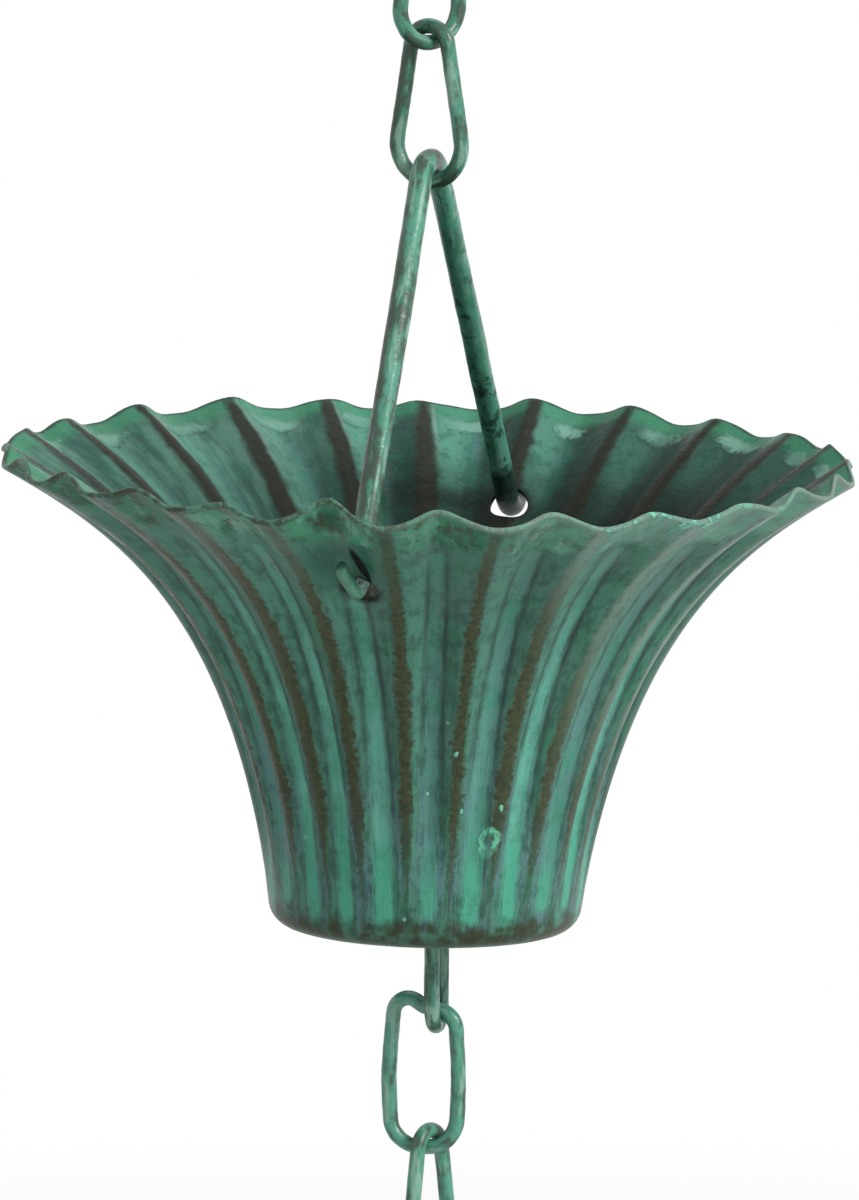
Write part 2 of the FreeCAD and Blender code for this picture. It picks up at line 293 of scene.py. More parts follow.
# Camera of the photograph
VIEW_AZIMUTH = 14.3
VIEW_ELEVATION = 8.1
VIEW_DISTANCE = 2.4
VIEW_LENS = 556.0
VIEW_TARGET = Vector((0.0, 0.0, -0.0918))

# Stage, in metres
FLOOR_DROP = 0.05
FLOOR_SIZE = 6.0
FLOOR_FADE = (0.16, 0.42)
FLOOR_COLOUR = (0.86, 0.86, 0.86)
AMBIENT = 0.25
LIGHTS = (  # name, azimuth, elevation, distance, size, level
    ("key", 66.0, 32.0, 1.6, 0.6, 1.06),
    ("fill", -50.0, 25.0, 1.6, 0.9, 0.14),
    ("overhead", 180.0, 75.0, 1.6, 1.0, 0.22),
)


# Paths of the wires, in the plane of each wire: across and up

def point(across, up):
    return np.array([across, up], float)


def on_circle(centre, radius, angle):
    return centre + radius * point(math.cos(angle), math.sin(angle))


def line(start, end):
    """A straight run as (length, place and direction at a share of it)."""
    length = np.linalg.norm(end - start)
    direction = (end - start) / length
    return length, lambda share: (start + share * length * direction, direction)


def arc(centre, radius, start, end):
    """An arc from one angle to another, in the same form as a line."""
    sense = math.copysign(1.0, end - start)

    def at(share):
        angle = start + share * (end - start)
        return on_circle(centre, radius, angle), sense * point(-math.sin(angle), math.cos(angle))

    return radius * abs(end - start), at


def rounded_path(corners):
    """Straight runs joined by tangent arcs, through (point, radius) corners."""
    edges = []
    last = corners[0][0]
    for before, here, after in zip(corners, corners[1:], corners[2:]):
        corner, radius = here
        back = (before[0] - corner) / np.linalg.norm(before[0] - corner)
        on = (after[0] - corner) / np.linalg.norm(after[0] - corner)
        half = math.acos(float(np.clip(back @ on, -1, 1))) / 2
        inward = (back + on) / np.linalg.norm(back + on)
        centre = corner + inward * radius / math.sin(half)
        start = corner + back * radius / math.tan(half)
        if np.linalg.norm(start - last) > 1e-6:
            edges.append(line(last, start))
        last = corner + on * radius / math.tan(half)
        first = math.atan2(*(start - centre)[::-1])
        turn = math.pi - 2 * half
        sense = math.copysign(1.0, back[1] * on[0] - back[0] * on[1])
        edges.append(arc(centre, radius, first, first + sense * turn))
    edges.append(line(last, corners[-1][0]))
    return edges


def pear_path(top_z):
    """A closed link with straight sides, narrow at the top. It starts at its lowest point."""
    top = point(0, top_z - PEAR_TOP_R)
    bottom = point(0, top_z - PEAR_LENGTH + PEAR_BOTTOM_R)
    slope = math.asin((PEAR_BOTTOM_R - PEAR_TOP_R) / (top[1] - bottom[1]))
    left = math.pi - slope
    down = -math.pi / 2
    return [
        arc(bottom, PEAR_BOTTOM_R, down, slope),
        line(on_circle(bottom, PEAR_BOTTOM_R, slope), on_circle(top, PEAR_TOP_R, slope)),
        arc(top, PEAR_TOP_R, slope, left),
        line(on_circle(top, PEAR_TOP_R, left), on_circle(bottom, PEAR_BOTTOM_R, left)),
        arc(bottom, PEAR_BOTTOM_R, left, 2 * math.pi + down),
    ]


def lower_path():
    """The hand-closed oval: its left end climbs over a hump, its right end comes in over a shoulder."""
    top = LOWER_LINK_Z
    foot = top - LOWER_DROP
    middle = (top + foot) / 2
    left = -LOWER_LEFT
    right = LOWER_RIGHT
    return rounded_path([
        (point(-LOWER_SEAM / 2, top), 0),
        (point(left + LOWER_HUMP_IN, top + LOWER_HUMP), LOWER_HUMP_R),
        (point(left, middle), LOWER_SIDE_R),
        (point(left + LOWER_BOW, foot), LOWER_FOOT_R),
        (point(right - LOWER_BOW, foot), LOWER_FOOT_R),
        (point(right, middle), LOWER_SIDE_R),
        (point(right - LOWER_BOW, top), LOWER_SHOULDER_R),
        (point(LOWER_SEAM / 2, top), 0),
    ])


def bail_path():
    """The V of the bail with its hooks and upturned tails."""
    down_leg, up_tail = leg_directions()
    hook = bail_hole() + down_leg * (SHEET / 2 + TAIL_STANDOFF + BAIL_WIRE / 2)
    tip = hook + up_tail * BAIL_TAIL
    mirror = point(-1, 1)
    peak = point(0, APEX_Z + BAIL_APEX_R * (1 / down_leg[0] - 1))
    return rounded_path([
        (tip * mirror, 0),
        (hook * mirror, BAIL_BEND_R),
        (peak, BAIL_APEX_R),
        (hook, BAIL_BEND_R),
        (tip, 0),
    ])


def eye_path():
    """The hairpin under the cup, its arms spread on the cup's floor."""
    arm_z = FLOOR_Z + REST_GAP + EYE_WIRE / 2
    arm_end = DRAIN_D / 2 + ARM_LAP
    side = EYE_SPREAD / 2
    return rounded_path([
        (point(-arm_end, arm_z), 0),
        (point(-side, arm_z), ARM_BEND_R),
        (point(-side, EYE_Z), side),
        (point(side, EYE_Z), side),
        (point(side, arm_z), ARM_BEND_R),
        (point(arm_end, arm_z), 0),
    ])


# Wall of the cup

def wall_point(share):
    """(radius, height) of the outer wall over its ridges, from the foot at share 0 to the rim at share 1."""
    poles = wall_poles()
    weights = ((1 - share) ** 3, 3 * share * (1 - share) ** 2, 3 * share ** 2 * (1 - share), share ** 3)
    return tuple(sum(weight * pole[part] for weight, pole in zip(weights, poles)) for part in (0, 1))


def wall_poles():
    """The four poles of the wall's curve, from the foot up."""
    low = point(BASE_R, FOOT_Z + FOOT_R * (1 - math.sin(BASE_LEAN)))
    high = point(RIM_R, RIM_Z)
    rise = high[1] - low[1]
    leaning = point(math.sin(BASE_LEAN), math.cos(BASE_LEAN))
    flaring = point(math.sin(RIM_FLARE), math.cos(RIM_FLARE))
    return [low, low + BASE_SWEEP * rise * leaning, high - RIM_SWEEP * rise * flaring, high]


def wall_normal(share):
    """(radius, height) parts of the wall's outward direction."""
    step = 1e-4
    below = wall_point(share - step)
    above = wall_point(share + step)
    run = above[0] - below[0]
    rise = above[1] - below[1]
    length = np.hypot(run, rise)
    return rise / length, -run / length


def smooth(value):
    """0 below 0, 1 above 1 and an even curve between."""
    value = np.clip(value, 0.0, 1.0)
    return value * value * (3 - 2 * value)


def flute_depth(share):
    """Half the flutes' depth: nothing at the foot, then growing towards the rim."""
    return (BODY_FLUTE + (RIM_FLUTE - BODY_FLUTE) * share ** 2) * smooth(share / FLUTE_FADE)


def bail_hole():
    """Where a bail leg meets the middle of the sheet on a crest, across and up."""
    shares = np.linspace(0.5, 1.0, 4001)
    pressed = SHEET / 2 + 2 * flute_depth(shares)
    heights = wall_point(shares)[1] - pressed * wall_normal(shares)[1]
    share = float(np.interp(HOLE_Z, heights, shares))
    pressed = SHEET / 2 + 2 * flute_depth(share)
    return point(wall_point(share)[0] - pressed * wall_normal(share)[0], HOLE_Z)


def leg_directions():
    """Directions down a bail leg, which meets the apex arc and the hole, and up its tail: across and up."""
    hole = bail_hole()
    centre_up = APEX_Z - BAIL_APEX_R - hole[1]
    reach = math.hypot(hole[0], centre_up)
    angle = math.acos(BAIL_APEX_R / reach) - math.atan2(centre_up, hole[0])
    return point(math.sin(angle), -math.cos(angle)), point(math.cos(angle), math.sin(angle))


def ripple(angle, waves):
    """Sum of the waves at an angle, each (size, count, phase)."""
    return sum(size * np.sin(count * angle + phase) for size, count, phase in waves)


def crest_phase(angle):
    """Place within the flutes, in flutes: whole numbers at the crests, halves at the ridges."""
    shifted = np.degrees(angle) + ripple(angle, CREST_SHIFT)
    return shifted * FLUTES / 360.0


def wall_ring(share, inset, angle):
    """One ring of the fluted wall: radius and height at each angle."""
    radius, height = wall_point(share)
    out, up = wall_normal(share)
    wave = (1 + np.cos(2 * math.pi * crest_phase(angle))) / 2
    depth = 2 * flute_depth(share) * (1 + ripple(angle, DEPTH_SPREAD))
    hump_turn = (np.degrees(angle) - HUMP_ANGLE + 180) % 360 - 180
    hump = HUMP_PRESS * np.exp(-(hump_turn / HUMP_WIDTH) ** 2) * smooth((share - 1 + HUMP_REACH) / HUMP_REACH)
    lift = ripple(angle, RIM_LIFT) * share ** LIFT_POWER
    aside = -RIM_ASIDE * np.cos(angle) * share ** ASIDE_POWER
    pressed = inset + depth * wave ** CREST_SHARPNESS + hump
    return radius - pressed * out + aside, height - pressed * up + lift


# Meshes

def linked(name, data):
    """A new object in the scene."""
    thing = bpy.data.objects.new(name, data)
    bpy.context.scene.collection.objects.link(thing)
    return thing


def basic_shape(name, create, **sizes):
    """A new object in the scene, of one of bmesh's own shapes."""
    made = bmesh.new()
    create(made, **sizes)
    mesh = bpy.data.meshes.new(name)
    made.to_mesh(mesh)
    made.free()
    return linked(name, mesh)


def new_piece(name, vertices, faces, body, slot, *nodes):
    """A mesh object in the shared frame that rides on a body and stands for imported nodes."""
    mesh = bpy.data.meshes.new(name)
    mesh.from_pydata((vertices * MM).tolist(), [], faces)
    mesh.update()
    turned = bmesh.new()
    turned.from_mesh(mesh)
    bmesh.ops.recalc_face_normals(turned, faces=turned.faces)
    turned.to_mesh(mesh)
    turned.free()
    mesh.polygons.foreach_set("use_smooth", [True] * len(mesh.polygons))
    piece = linked(name, mesh)
    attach(piece, body)
    if nodes:
        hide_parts(*nodes)
    return piece


def set_field(mesh, name, values):
    """A number or a vector at each vertex, for the materials to read."""
    values = np.asarray(values, np.float32)
    kind = "FLOAT" if values.ndim == 1 else "FLOAT_VECTOR"
    key = "value" if values.ndim == 1 else "vector"
    attribute = mesh.attributes.new(name, kind, "POINT")
    attribute.data.foreach_set(key, values.ravel())


def grid_faces(rings, sides, closed):
    """Quads between rings of vertices, each ring closed on itself."""
    faces = []
    for ring in range(rings if closed else rings - 1):
        start = ring * sides
        after = ((ring + 1) % rings) * sides
        for side in range(sides):
            beside = (side + 1) % sides
            faces.append((start + side, start + beside, after + beside, after + side))
    return faces


def walk(edges, closed):
    """Places and directions at even steps along a path."""
    spots = []
    for length, at in edges:
        count = max(2, round(length / WIRE_STEP))
        spots += [at(number / count) for number in range(count)]
    if not closed:
        spots.append(edges[-1][1](1.0))
    places, directions = zip(*spots)
    return np.array(places), np.array(directions)


def swung(vertices, hang):
    """Points as they hang: turned about +Y at a height on the chain's axis, then moved aside."""
    angle, height, aside = hang
    pivot = np.array([0.0, 0.0, height])
    cosine = math.cos(angle)
    sine = math.sin(angle)
    turn = np.array([[cosine, 0, sine], [0, 1, 0], [-sine, 0, cosine]])
    return (vertices - pivot) @ turn.T + pivot + np.array([aside, 0.0, 0.0])


def lumps(rings, turn, seed):
    """How uneven a wire is under its paint, as a share of its radius, at each ring and side."""
    chance = np.random.default_rng(seed)
    travel = np.arange(rings) / rings * 2 * math.pi
    total = np.zeros((rings, WIRE_SIDES))
    for count in LUMP_WAVES:
        size = WIRE_LUMPS / math.sqrt(count / LUMP_WAVES[0])
        around = chance.integers(0, LUMP_TURNS)
        first, second = chance.uniform(0, 2 * math.pi, 2)
        total += size * np.outer(np.sin(count * travel + first), np.cos(around * turn + second))
    return total


def unworn_unshaded(places):
    """A wire that is nowhere beaten, bent aside or painted dark as shade."""
    return np.zeros((3, len(places)))


def bail_wear_and_shade(places):
    """Where the bail is beaten flatter, bent aside, and painted dark as shade near its holes. Its path starts
    at the front tail.
    """
    steps = np.linalg.norm(np.diff(places, axis=0), axis=1)
    gone = np.concatenate([[0], np.cumsum(steps)])
    to_end = np.minimum(gone, gone[-1] - gone)
    beaten = smooth((TAIL_FLAT - gone) / FLAT_FADE)
    hook_end = BAIL_TAIL + BAIL_BEND_R * (math.pi / 2 - 1)
    bent = (TIP_ASIDE + HOOK_ASIDE) * smooth((hook_end - gone) / hook_end)
    bent -= HOOK_ASIDE * smooth((hook_end + LEG_BEND - gone) / LEG_BEND)
    start = hook_end - np.where(gone <= to_end, FRONT_TAIL_SHADE, BACK_TAIL_SHADE)
    painted_shade = smooth(to_end - start) * smooth((hook_end + LEG_SHADE - to_end) / LEG_SHADE_FADE + 1)
    return beaten, bent, painted_shade


def wire_piece(name, edges, diameter, yaw, body, closed, seed, hang=PLUMB, wear_and_shade=unworn_unshaded):
    """Lumpy round wire along a path, worn, shaded and hung as given, with rounded ends if it is open."""
    places, directions = walk(edges, closed)
    rings = len(places)
    turn = np.arange(WIRE_SIDES) * 2 * math.pi / WIRE_SIDES
    radius = diameter / 2 * (1 + lumps(rings, turn, seed))
    if not closed:
        ends = np.ones(rings)
        ends[:2] = END_ROUNDING
        ends[-2:] = END_ROUNDING[::-1]
        radius *= ends[:, None]
    beaten, bent, painted_shade = wear_and_shade(places)
    width = 1 - (1 - FLAT_WIDTH) * beaten
    thickness = 1 - (1 - FLAT_THICKNESS) * beaten
    centres = np.column_stack([places[:, 0], bent, places[:, 1]])
    across = np.column_stack([-directions[:, 1], np.zeros(rings), directions[:, 0]])
    square = np.array([0.0, 1.0, 0.0])
    offsets = radius[:, :, None] * (
        np.outer(thickness, np.cos(turn))[:, :, None] * across[:, None, :]
        + np.outer(width, np.sin(turn))[:, :, None] * square
    )
    vertices = (centres[:, None, :] + offsets).reshape(-1, 3)
    lay = (WIRE_STRETCH * centres[:, None, :] + offsets).reshape(-1, 3)
    faces = grid_faces(rings, WIRE_SIDES, closed)
    if not closed:
        faces.append(tuple(range(WIRE_SIDES)))
        faces.append(tuple(range((rings - 1) * WIRE_SIDES, rings * WIRE_SIDES)))
    cosine = math.cos(math.radians(yaw))
    sine = math.sin(math.radians(yaw))
    spin = np.array([[cosine, -sine, 0], [sine, cosine, 0], [0, 0, 1]])
    piece = new_piece(name + "_wire", swung(vertices @ spin.T, hang), faces, body, "patina_wire", name)
    set_field(piece.data, "lay", lay + WIRE_APART * seed)
    set_field(piece.data, "painted_shade", np.repeat(painted_shade, WIRE_SIDES))
    set_field(piece.data, "flank", np.tile(np.sin(turn), rings))
    return piece


def cup_stations():
    """Rings round the cup, in order along its section: radius and height by angle, side and share."""
    angle = np.arange(COLUMNS) * 2 * math.pi / COLUMNS
    still = np.ones(COLUMNS)
    centre = point(BASE_R - FOOT_R * math.cos(BASE_LEAN), FOOT_Z + FOOT_R)
    flats = np.linspace(DRAIN_D / 2, centre[0], FLAT_ROWS, endpoint=False)
    bends = np.linspace(-math.pi / 2, -BASE_LEAN, ARC_ROWS, endpoint=False)
    shares = np.linspace(0.0, 1.0, WALL_ROWS)
    stations = []

    def add_round(radius, height, side):
        stations.append((radius * still, height * still, side, 0.0))

    for radius in flats:
        add_round(radius, FOOT_Z, 0)
    for bend in bends:
        add_round(*on_circle(centre, FOOT_R, bend), 0)
    for share in shares:
        stations.append((*wall_ring(share, 0.0, angle), 0, share))
    rim_out, rim_up = wall_normal(1.0)
    for number in range(1, RIM_ROWS + 1):
        bow = math.pi * number / (RIM_ROWS + 1)
        radius, height = wall_ring(1.0, SHEET / 2 * (1 - math.cos(bow)), angle)
        proud = RIM_BOW * math.sin(bow)
        stations.append((radius - proud * rim_up, height + proud * rim_out, 0, 1.0))
    for share in shares[::-1]:
        stations.append((*wall_ring(share, SHEET, angle), 1, share))
    for bend in bends[::-1]:
        add_round(*on_circle(centre, FOOT_R - SHEET, bend), 1)
    for radius in flats[::-1]:
        add_round(radius, FLOOR_Z, 1)
    return angle, stations


def hole_punch(side):
    """A round bar to cut one bail hole with, square to the wall: a 1 mm one that is scaled."""
    down_leg, up_tail = leg_directions()
    aside = FRONT_HOLE_ASIDE if side < 0 else BACK_HOLE_ASIDE
    width = HOLE_D if side < 0 else HOLE_D + BACK_HOLE_WEAR
    middle = bail_hole() - up_tail * ((width - BAIL_WIRE) / 2 - HANG_GAP)
    place = swung(np.array([aside, side * middle[0], middle[1]]), CUP_HANG)
    bar = {"cap_ends": True, "segments": PUNCH_SIDES, "radius1": MM / 2, "radius2": MM / 2, "depth": MM}
    punch = basic_shape("punch", bmesh.ops.create_cone, **bar)
    turn = Vector((0, side * down_leg[0], down_leg[1])).to_track_quat("Z", "Y").to_matrix()
    size = Matrix.Diagonal((width, width, PUNCH_DEPTH, 1.0))
    punch.matrix_world = Matrix.Translation(Vector(place * MM)) @ turn.to_4x4() @ size
    return punch


def slit_frame():
    """Middle of the slit on the cup and the directions across and along it. Its top leans towards -X."""
    up_tail = leg_directions()[1]
    up = np.array([0.0, -up_tail[0], up_tail[1]])
    sideways = np.array([1.0, 0.0, 0.0])
    along = up * math.cos(SLIT_TURN) - sideways * math.sin(SLIT_TURN)
    across = sideways * math.cos(SLIT_TURN) + up * math.sin(SLIT_TURN)
    middle = bail_hole() + SLIT_UP * up_tail
    return swung(np.array([SLIT_ASIDE, -middle[0], middle[1]]), CUP_HANG), across, along


def edge_shade(vertices, punches):
    """1 at the edges that the punches cut, fading out round them: painted shade round the holes."""
    painted_shade = np.zeros(len(vertices))
    for punch in punches:
        local = np.array(punch.matrix_world.inverted())
        inside = vertices @ local[:3, :3].T + local[:3, 3]
        beyond = np.hypot(inside[:, 0], inside[:, 1]) / (MM / 2) - 1
        reached = np.abs(inside[:, 2]) < MM / 2
        painted_shade = np.maximum(painted_shade, reached * smooth((HOLE_SHADE - beyond) / HOLE_SHADE_FADE))
    return painted_shade


def punch_holes(piece):
    """Cuts both bail holes through the cup and marks the painted shade and the bruise round them."""
    punches = [hole_punch(-1), hole_punch(1)]
    for punch in punches:
        cut = piece.modifiers.new("hole", "BOOLEAN")
        cut.operation = "DIFFERENCE"
        cut.solver = "EXACT"
        cut.object = punch
    bpy.context.view_layer.update()
    shaped = bpy.data.meshes.new_from_object(piece.evaluated_get(bpy.context.evaluated_depsgraph_get()))
    piece.modifiers.clear()
    old = piece.data
    piece.data = shaped
    bpy.data.meshes.remove(old)
    shaped.name = piece.name
    places = np.array([vertex.co for vertex in shaped.vertices])
    set_field(shaped, "painted_shade", edge_shade(places, punches))
    bruised = slit_frame()[0] - np.array([BRUISE_ASIDE, 0.0, 0.0])
    away = np.linalg.norm(places - bruised * MM, axis=1)
    set_field(shaped, "bruise", smooth((BRUISE_REACH * MM - away) / (BRUISE_FADE * MM)))
    for punch in punches:
        bpy.data.objects.remove(punch)


def about(size, chance):
    """A usual size with its spread, for a chance from -1 to 1."""
    return size[0] + size[1] * chance


def rising(value, ends):
    """An even curve from 0 to 1 as a value goes from one end to the other."""
    return smooth((value - ends[0]) / (ends[1] - ends[0]))


def cup_fields(angle, stations):
    """What the paint follows, at each vertex of the cup, in millimetres where it is a length."""
    chance = np.random.default_rng(CUP_SEED)
    pool_width, pool_start, pool_end, line_width, cap_size, tint = chance.uniform(-1, 1, (6, FLUTES))
    phase = crest_phase(angle)
    crest = np.round(phase).astype(int) % FLUTES
    ridge = np.floor(phase).astype(int) % FLUTES
    off_crest = np.abs(phase - np.round(phase))
    shares = np.linspace(0, 1, 400)
    radii, heights = wall_point(shares)
    runs = np.concatenate([[0], np.cumsum(np.hypot(np.diff(radii), np.diff(heights)))])
    top = runs[-1]
    round_cup = (NOISE_RADIUS * np.cos(angle), NOISE_RADIUS * np.sin(angle))
    still = np.ones(COLUMNS)
    rows = []
    for radius, _, side, share in stations:
        pitch = 2 * math.pi * np.mean(radius) / FLUTES
        run = np.interp(share, shares, runs)
        if share == 0.0:
            run = -FOOT_RUN * (BASE_R - np.mean(radius))
        drop = top - run
        to_crest = off_crest * pitch
        to_ridge = (0.5 - off_crest) * pitch
        if side == 0:
            half = about(POOL_HALF, pool_width[crest]) * (1 - POOL_NARROWING * rising(run, POOL_NARROWS))
            below = np.maximum(0, about(POOL_START, pool_start[crest]) + half - run)
            above = np.maximum(0, about(POOL_END, pool_end[crest]) + half - drop)
            pool = half - np.sqrt(to_crest ** 2 + below ** 2 + above ** 2)
            brown = about(RIDGE_HALF, line_width[ridge]) * rising(run, RIDGE_GROWS) - to_ridge
            sideways = (CAP_HALF - CAP_TAPER * drop) * pitch - to_crest
            cap = np.minimum(about(CAP_REACH, cap_size[crest]) - drop, sideways)
        else:
            pool = NO_POOL * still
            growth = LINE_AT_RIM + LINE_GROWTH * smooth(drop / LINE_GROWS)
            brown = about(LINE_HALF, line_width[crest]) * growth - to_crest
            sideways = (phase - np.floor(phase) - 0.5) * pitch - SMEAR_ASIDE
            down = (drop - about(SMEAR_DOWN, tint[ridge])) / SMEAR_HEIGHT
            cap = 1 - np.hypot(sideways / about(SMEAR_HALF, cap_size[ridge]), down)
        rows.append({
            "pool": pool,
            "ridge": brown,
            "cap": cap,
            "flank": (1 - 2 * side) * np.sin(2 * math.pi * phase),
            "rise": run * still,
            "drop": drop * still,
            "inside": side * still,
            "tone": 0.5 + 0.5 * tint[crest],
            "lay": np.column_stack([*round_cup, (STREAK_STRETCH * run + INSIDE_APART * side) * still]),
        })
    return {name: np.concatenate([row[name] for row in rows]) for name in rows[0]}


def make_cup():
    """The pressed cup, with bail holes, and the fields that its paint follows."""
    angle, stations = cup_stations()
    rings = [np.column_stack([out * np.cos(angle), out * np.sin(angle), up]) for out, up, _, _ in stations]
    vertices = swung(np.concatenate(rings), CUP_HANG)
    faces = grid_faces(len(stations), COLUMNS, True)
    piece = new_piece("fluted_cup", vertices, faces, "cup", "patina_cup", "cup")
    punch_holes(piece)
    mesh = piece.data
    finder = kdtree.KDTree(len(vertices))
    for number, vertex in enumerate(vertices * MM):
        finder.insert(vertex, number)
    finder.balance()
    nearest = np.array([finder.find(vertex.co)[1] for vertex in mesh.vertices])
    fields = cup_fields(angle, stations)
    for name, values in fields.items():
        set_field(mesh, name, values[nearest])
    mesh.polygons.foreach_set("use_smooth", [True] * len(mesh.polygons))
    mesh.set_sharp_from_angle(angle=SHARP_EDGE)
    mesh.materials.clear()
    mesh.materials.append(cup_outside_paint())
    mesh.materials.append(cup_inside_paint())
    inner = fields["inside"][nearest]
    for polygon in mesh.polygons:
        polygon.material_index = int(min(inner[index] for index in polygon.vertices) > 0.5)


def wall_spot(degrees, share):
    """A place on the outside of the cup and its directions round the cup, up the wall and outward."""
    def at(turn, rise):
        angle = np.array([math.radians(turn)])
        radius, height = wall_ring(rise, 0.0, angle)
        return np.array([radius[0] * math.cos(angle[0]), radius[0] * math.sin(angle[0]), height[0]])

    step_round = 0.05
    step_up = 0.001
    place = at(degrees, share)
    around = at(degrees + step_round, share) - place
    upward = place - at(degrees, share - step_up)
    outward = np.cross(around, upward)
    return place, *(side / np.linalg.norm(side) for side in (around, upward, outward))


def share_at(height):
    """The share of the wall at a height above the foot."""
    shares = np.linspace(0.0, 1.0, 2001)
    return float(np.interp(height, wall_point(shares)[1] - FOOT_Z, shares))


def dome(degrees, share, radius, chance):
    """Vertices and faces of a low uneven lump on the wall."""
    place, around, upward, outward = wall_spot(degrees, share)
    phases = chance.uniform(0, 2 * math.pi, len(DROP_LOBES))
    lobes = [(size, count, phase) for (size, count), phase in zip(DROP_LOBES, phases)]
    vertices = []
    for ring in range(DROP_RINGS):
        lift = math.pi / 2 * ring / DROP_RINGS
        proud = radius * DROP_RISE * (math.sin(lift) - DROP_SINK)
        for side in range(DROP_SIDES):
            turn = 2 * math.pi * side / DROP_SIDES
            reach = radius * (1 + ripple(turn, lobes)) * math.cos(lift)
            flat = reach * (math.cos(turn) * around + DROP_STRETCH * math.sin(turn) * upward)
            vertices.append(place + flat + proud * outward)
    faces = grid_faces(DROP_RINGS, DROP_SIDES, False)
    faces.append(tuple(range((DROP_RINGS - 1) * DROP_SIDES, DROP_RINGS * DROP_SIDES)))
    return np.array(vertices), faces


def make_drops():
    """Drops of thick paint."""
    chance = np.random.default_rng(DROP_SEED)
    vertices = []
    faces = []
    for degrees, height, radius in DROPS:
        spots, sides = dome(degrees, share_at(height), radius, chance)
        faces += [tuple(index + len(vertices) for index in side) for side in sides]
        vertices += list(spots)
    piece = new_piece("paint_drops", swung(np.array(vertices), CUP_HANG), faces, "cup", "patina_cup")
    piece.data.materials.append(drop_paint())


# Materials. Noise lies close round 0.5, and the steps on it are given one by one.

class Value:
    """An output of a node. Outputs that are numbers on a surface can be reckoned with."""

    def __init__(self, tree, socket):
        self.tree = tree
        self.socket = socket

    def math(self, operation, other=0.0):
        return add_node(self.tree, "ShaderNodeMath", {0: self, 1: other}, operation=operation)

    def __add__(self, other):
        return self.math("ADD", other)

    def __sub__(self, other):
        return self.math("SUBTRACT", other)

    def __mul__(self, other):
        return self.math("MULTIPLY", other)

    def __abs__(self):
        return self.math("ABSOLUTE")

    def step(self, low, high, bottom=0.0, top=1.0):
        """An even curve from bottom to top as the value goes from low to high."""
        inputs = {"Value": self, "From Min": low, "From Max": high, "To Min": bottom, "To Max": top}
        return add_node(self.tree, "ShaderNodeMapRange", inputs, interpolation_type="SMOOTHSTEP")

    def band(self, middle, half):
        """1 where the value is at the middle, 0 beyond half to either side."""
        return abs(self - middle).step(half, 0)

    def jittered(self, noise, reach):
        """The value, made to wander by up to half the reach either way."""
        return self + (noise - 0.5) * reach


def add_node(tree, kind, inputs, output=0, **settings):
    """An output of a new node. Each input is an output of another node, a colour or another constant."""
    node = tree.nodes.new(kind)
    for name, value in settings.items():
        setattr(node, name, value)
    for key, value in inputs.items():
        if isinstance(value, Value):
            tree.links.new(value.socket, node.inputs[key])
        elif isinstance(value, tuple):
            node.inputs[key].default_value = (*value, 1.0)
        else:
            node.inputs[key].default_value = value
    return Value(tree, node.outputs[output]) if node.outputs else None


class Paint:
    """A node material: coats of paint over a ground."""

    def __init__(self, name, ground):
        self.material = bpy.data.materials.new(name)
        self.material.use_nodes = True
        self.tree = self.material.node_tree
        self.tree.nodes.clear()
        self.colour = ground
        self.place = self.node("ShaderNodeTexCoord", {}, "Object")
        self.across = self.node("ShaderNodeSeparateXYZ", {0: self.place}, "X") * (1 / MM)
        self.ahead = self.node("ShaderNodeSeparateXYZ", {0: self.place}, "Y") * (1 / MM)

    def node(self, kind, inputs, output=0, **settings):
        return add_node(self.tree, kind, inputs, output, **settings)

    def field(self, name, output="Fac"):
        return self.node("ShaderNodeAttribute", {}, output, attribute_name=name)

    def noise(self, vector, scale, detail, roughness):
        inputs = {"Vector": vector, "Scale": scale, "Detail": detail, "Roughness": roughness}
        return self.node("ShaderNodeTexNoise", inputs)

    def speckle(self, size, detail=3.0, roughness=0.55):
        """Noise over the surface, with features of a size in millimetres."""
        return self.noise(self.place, 1 / (size * MM), detail, roughness)

    def strokes(self, scale, detail=3.0, roughness=0.55):
        """Noise that is drawn out along a wire or up the cup's wall."""
        return self.noise(self.field("lay", "Vector"), scale, detail, roughness)

    def spots(self, size):
        """Distance from points scattered over the surface about a size in millimetres apart."""
        return self.node("ShaderNodeTexVoronoi", {"Vector": self.place, "Scale": 1 / (size * MM)})

    def off(self, centre, direction, size):
        """How far the surface lies from a place along a direction, as a number of sizes."""
        inputs = {0: self.place, 1: direction}
        along = self.node("ShaderNodeVectorMath", inputs, "Value", operation="DOT_PRODUCT")
        return along * (1 / (size * MM)) - float(centre @ direction) / size

    def oval(self, centre, across, width, along, length):
        """0 in the middle of an oval on the surface, 1 on its edge and more outside it."""
        aside = self.off(centre, across, width / 2)
        up = self.off(centre, along, length / 2)
        return (aside * aside + up * up).math("SQRT")

    def layers(self, colour, *coats):
        """A colour under coats of (share, colour)."""
        for share, over in coats:
            colour = self.node("ShaderNodeMix", {"Factor": share, 6: colour, 7: over}, 2, data_type="RGBA")
        return colour

    def coat(self, *coats):
        """Lays coats of (share, colour) over the paint so far."""
        self.colour = self.layers(self.colour, *coats)

    def finish(self, roughness, height, depth, specular):
        """Puts the shader together, with a relief in millimetres."""
        bump = self.node("ShaderNodeBump", {"Height": height, "Distance": depth * MM})
        shader = self.node("ShaderNodeBsdfPrincipled", {
            "Base Color": self.colour,
            "Roughness": roughness,
            "Specular IOR Level": specular,
            "Normal": bump,
        })
        self.node("ShaderNodeOutputMaterial", {"Surface": shader})
        return self.material


def burst_oval(paint):
    """Distance from the middle of the burst drop, in its radii."""
    degrees, height, radius = BURST_DROP
    place, around, upward, _ = wall_spot(degrees, share_at(height))
    across = around - BURST_LEAN * upward
    along = upward + BURST_LEAN * around
    return paint.oval(swung(place, CUP_HANG), across, 2 * radius, along, 3 * radius)


